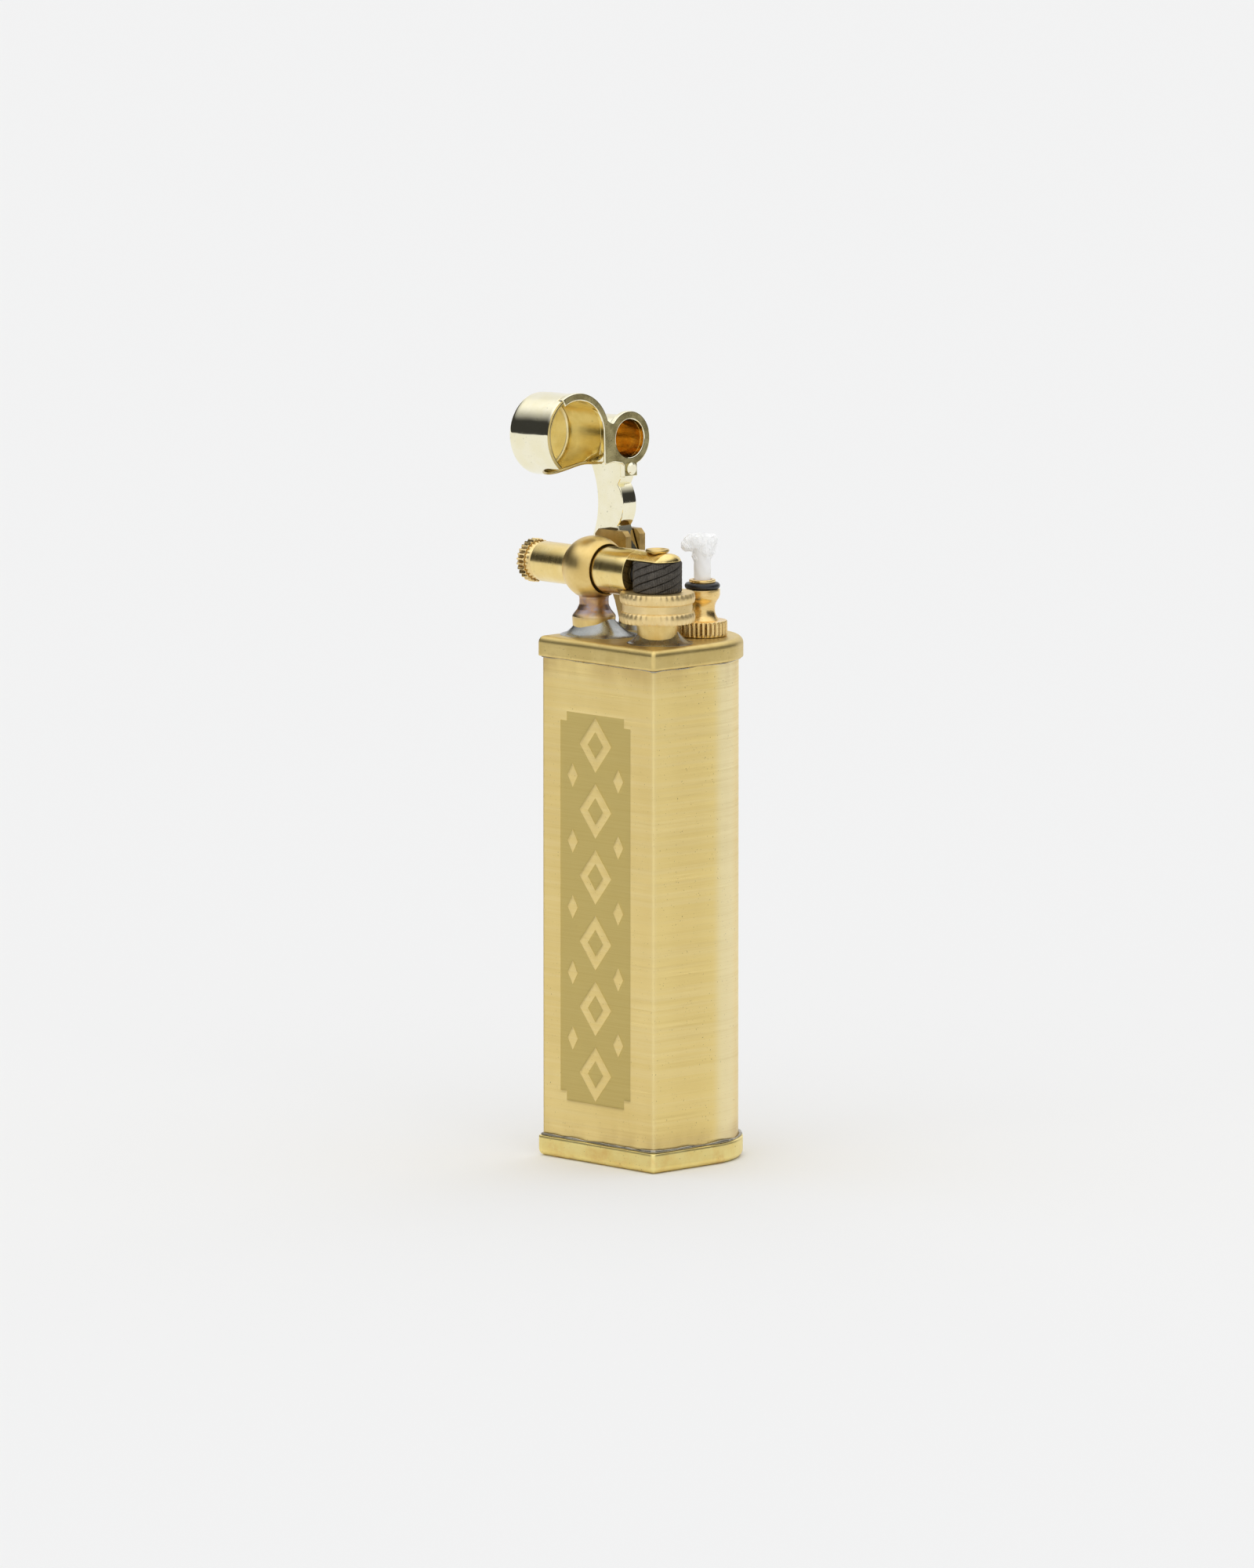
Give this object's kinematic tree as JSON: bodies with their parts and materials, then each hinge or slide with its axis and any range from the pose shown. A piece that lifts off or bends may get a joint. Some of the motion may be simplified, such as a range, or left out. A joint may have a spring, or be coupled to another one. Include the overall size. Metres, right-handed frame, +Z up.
{
  "type": "lift arm petrol lighter",
  "caption": "Brass pocket lighter with a D-section tank, side flint tube, knurled spark wheel, wick and a swinging two-cup lift arm, standing open.",
  "frame": {"origin": "on the base plane, under the middle of the case", "axes": "+X along the flat face from the flint screw to the spark wheel, +Y from the flat face to the round back, +Z up along the case"},
  "size_m": [0.027, 0.0204, 0.0905],
  "materials": {
    "brushed_brass": "brushed, satin",
    "cap_brass": "satin",
    "satin_brass": "fine satin",
    "polished_brass": "polished",
    "plated_brass": "bright pale-gold plate",
    "solder": "dull grey",
    "steel": "hardened, dark",
    "flint": "dull",
    "rubber": "smooth black",
    "wick": "soft white fibre"
  },
  "bodies": {
    "case": {"body_tube": "brushed_brass", "bottom_cap": "cap_brass", "top_cap": "cap_brass", "top_seam_solder": "solder", "bottom_seam_solder": "solder", "post_solder": "solder", "stub_solder": "solder", "bracket_solder": "solder", "ball_post": "satin_brass", "flint_tube": "polished_brass", "flint": "flint", "wheel_axle": "satin_brass", "wheel_stub": "satin_brass", "filler_bush": "satin_brass", "wick": "wick", "cotton_packing": "wick", "hinge_bracket": "cap_brass", "hinge_pin": "cap_brass", "snap_spring": "steel"},
    "arm": {"lift_arm": "plated_brass", "face_plate": "plated_brass", "hood_cup": "plated_brass", "snuffer_cup": "plated_brass", "arm_rivet": "plated_brass"},
    "wheels": {"spark_wheel": "steel", "thumb_wheel": "satin_brass"},
    "flint_feed": {"flint_spring": "steel", "flint_pusher": "satin_brass"},
    "feed_screw": {"flint_screw": "polished_brass"},
    "plug_seal": {"o_ring": "rubber"},
    "plug": {"filler_plug": "polished_brass"}
  },
  "joints": [
    {"name": "arm_lift", "type": "hinge", "parent": "case", "child": "arm", "pos_m": [-0.0102, 0.00388, 0.0705], "axis": [0, 1, 0], "range_deg": [0, 92]},
    {"name": "wheel_spin", "type": "hinge", "parent": "case", "child": "wheels", "pos_m": [0.0048, -0.0044, 0.0682], "axis": [0, 0, 1], "continuous": true},
    {"name": "flint_screw_travel", "type": "slide", "parent": "case", "child": "flint_feed", "axis": [-1, 0, 0], "range_m": [0, 0.003]},
    {"name": "flint_screw_turn", "type": "hinge", "parent": "flint_feed", "child": "feed_screw", "pos_m": [-0.016, -0.0044, 0.0701], "axis": [-1, 0, 0], "range_deg": [0, 2160]},
    {"name": "plug_travel", "type": "slide", "parent": "case", "child": "plug_seal", "axis": [0, 0, 1], "range_m": [0, 0.002]},
    {"name": "plug_turn", "type": "hinge", "parent": "plug_seal", "child": "plug", "pos_m": [0.0038, 0.00388, 0.0655], "axis": [0, 0, 1], "range_deg": [0, 1440]}
  ],
  "couplings": [
    {"joint": "flint_screw_turn", "follows": "flint_screw_travel", "rad_per_m": 12566},
    {"joint": "plug_turn", "follows": "plug_travel", "rad_per_m": 12566}
  ]
}
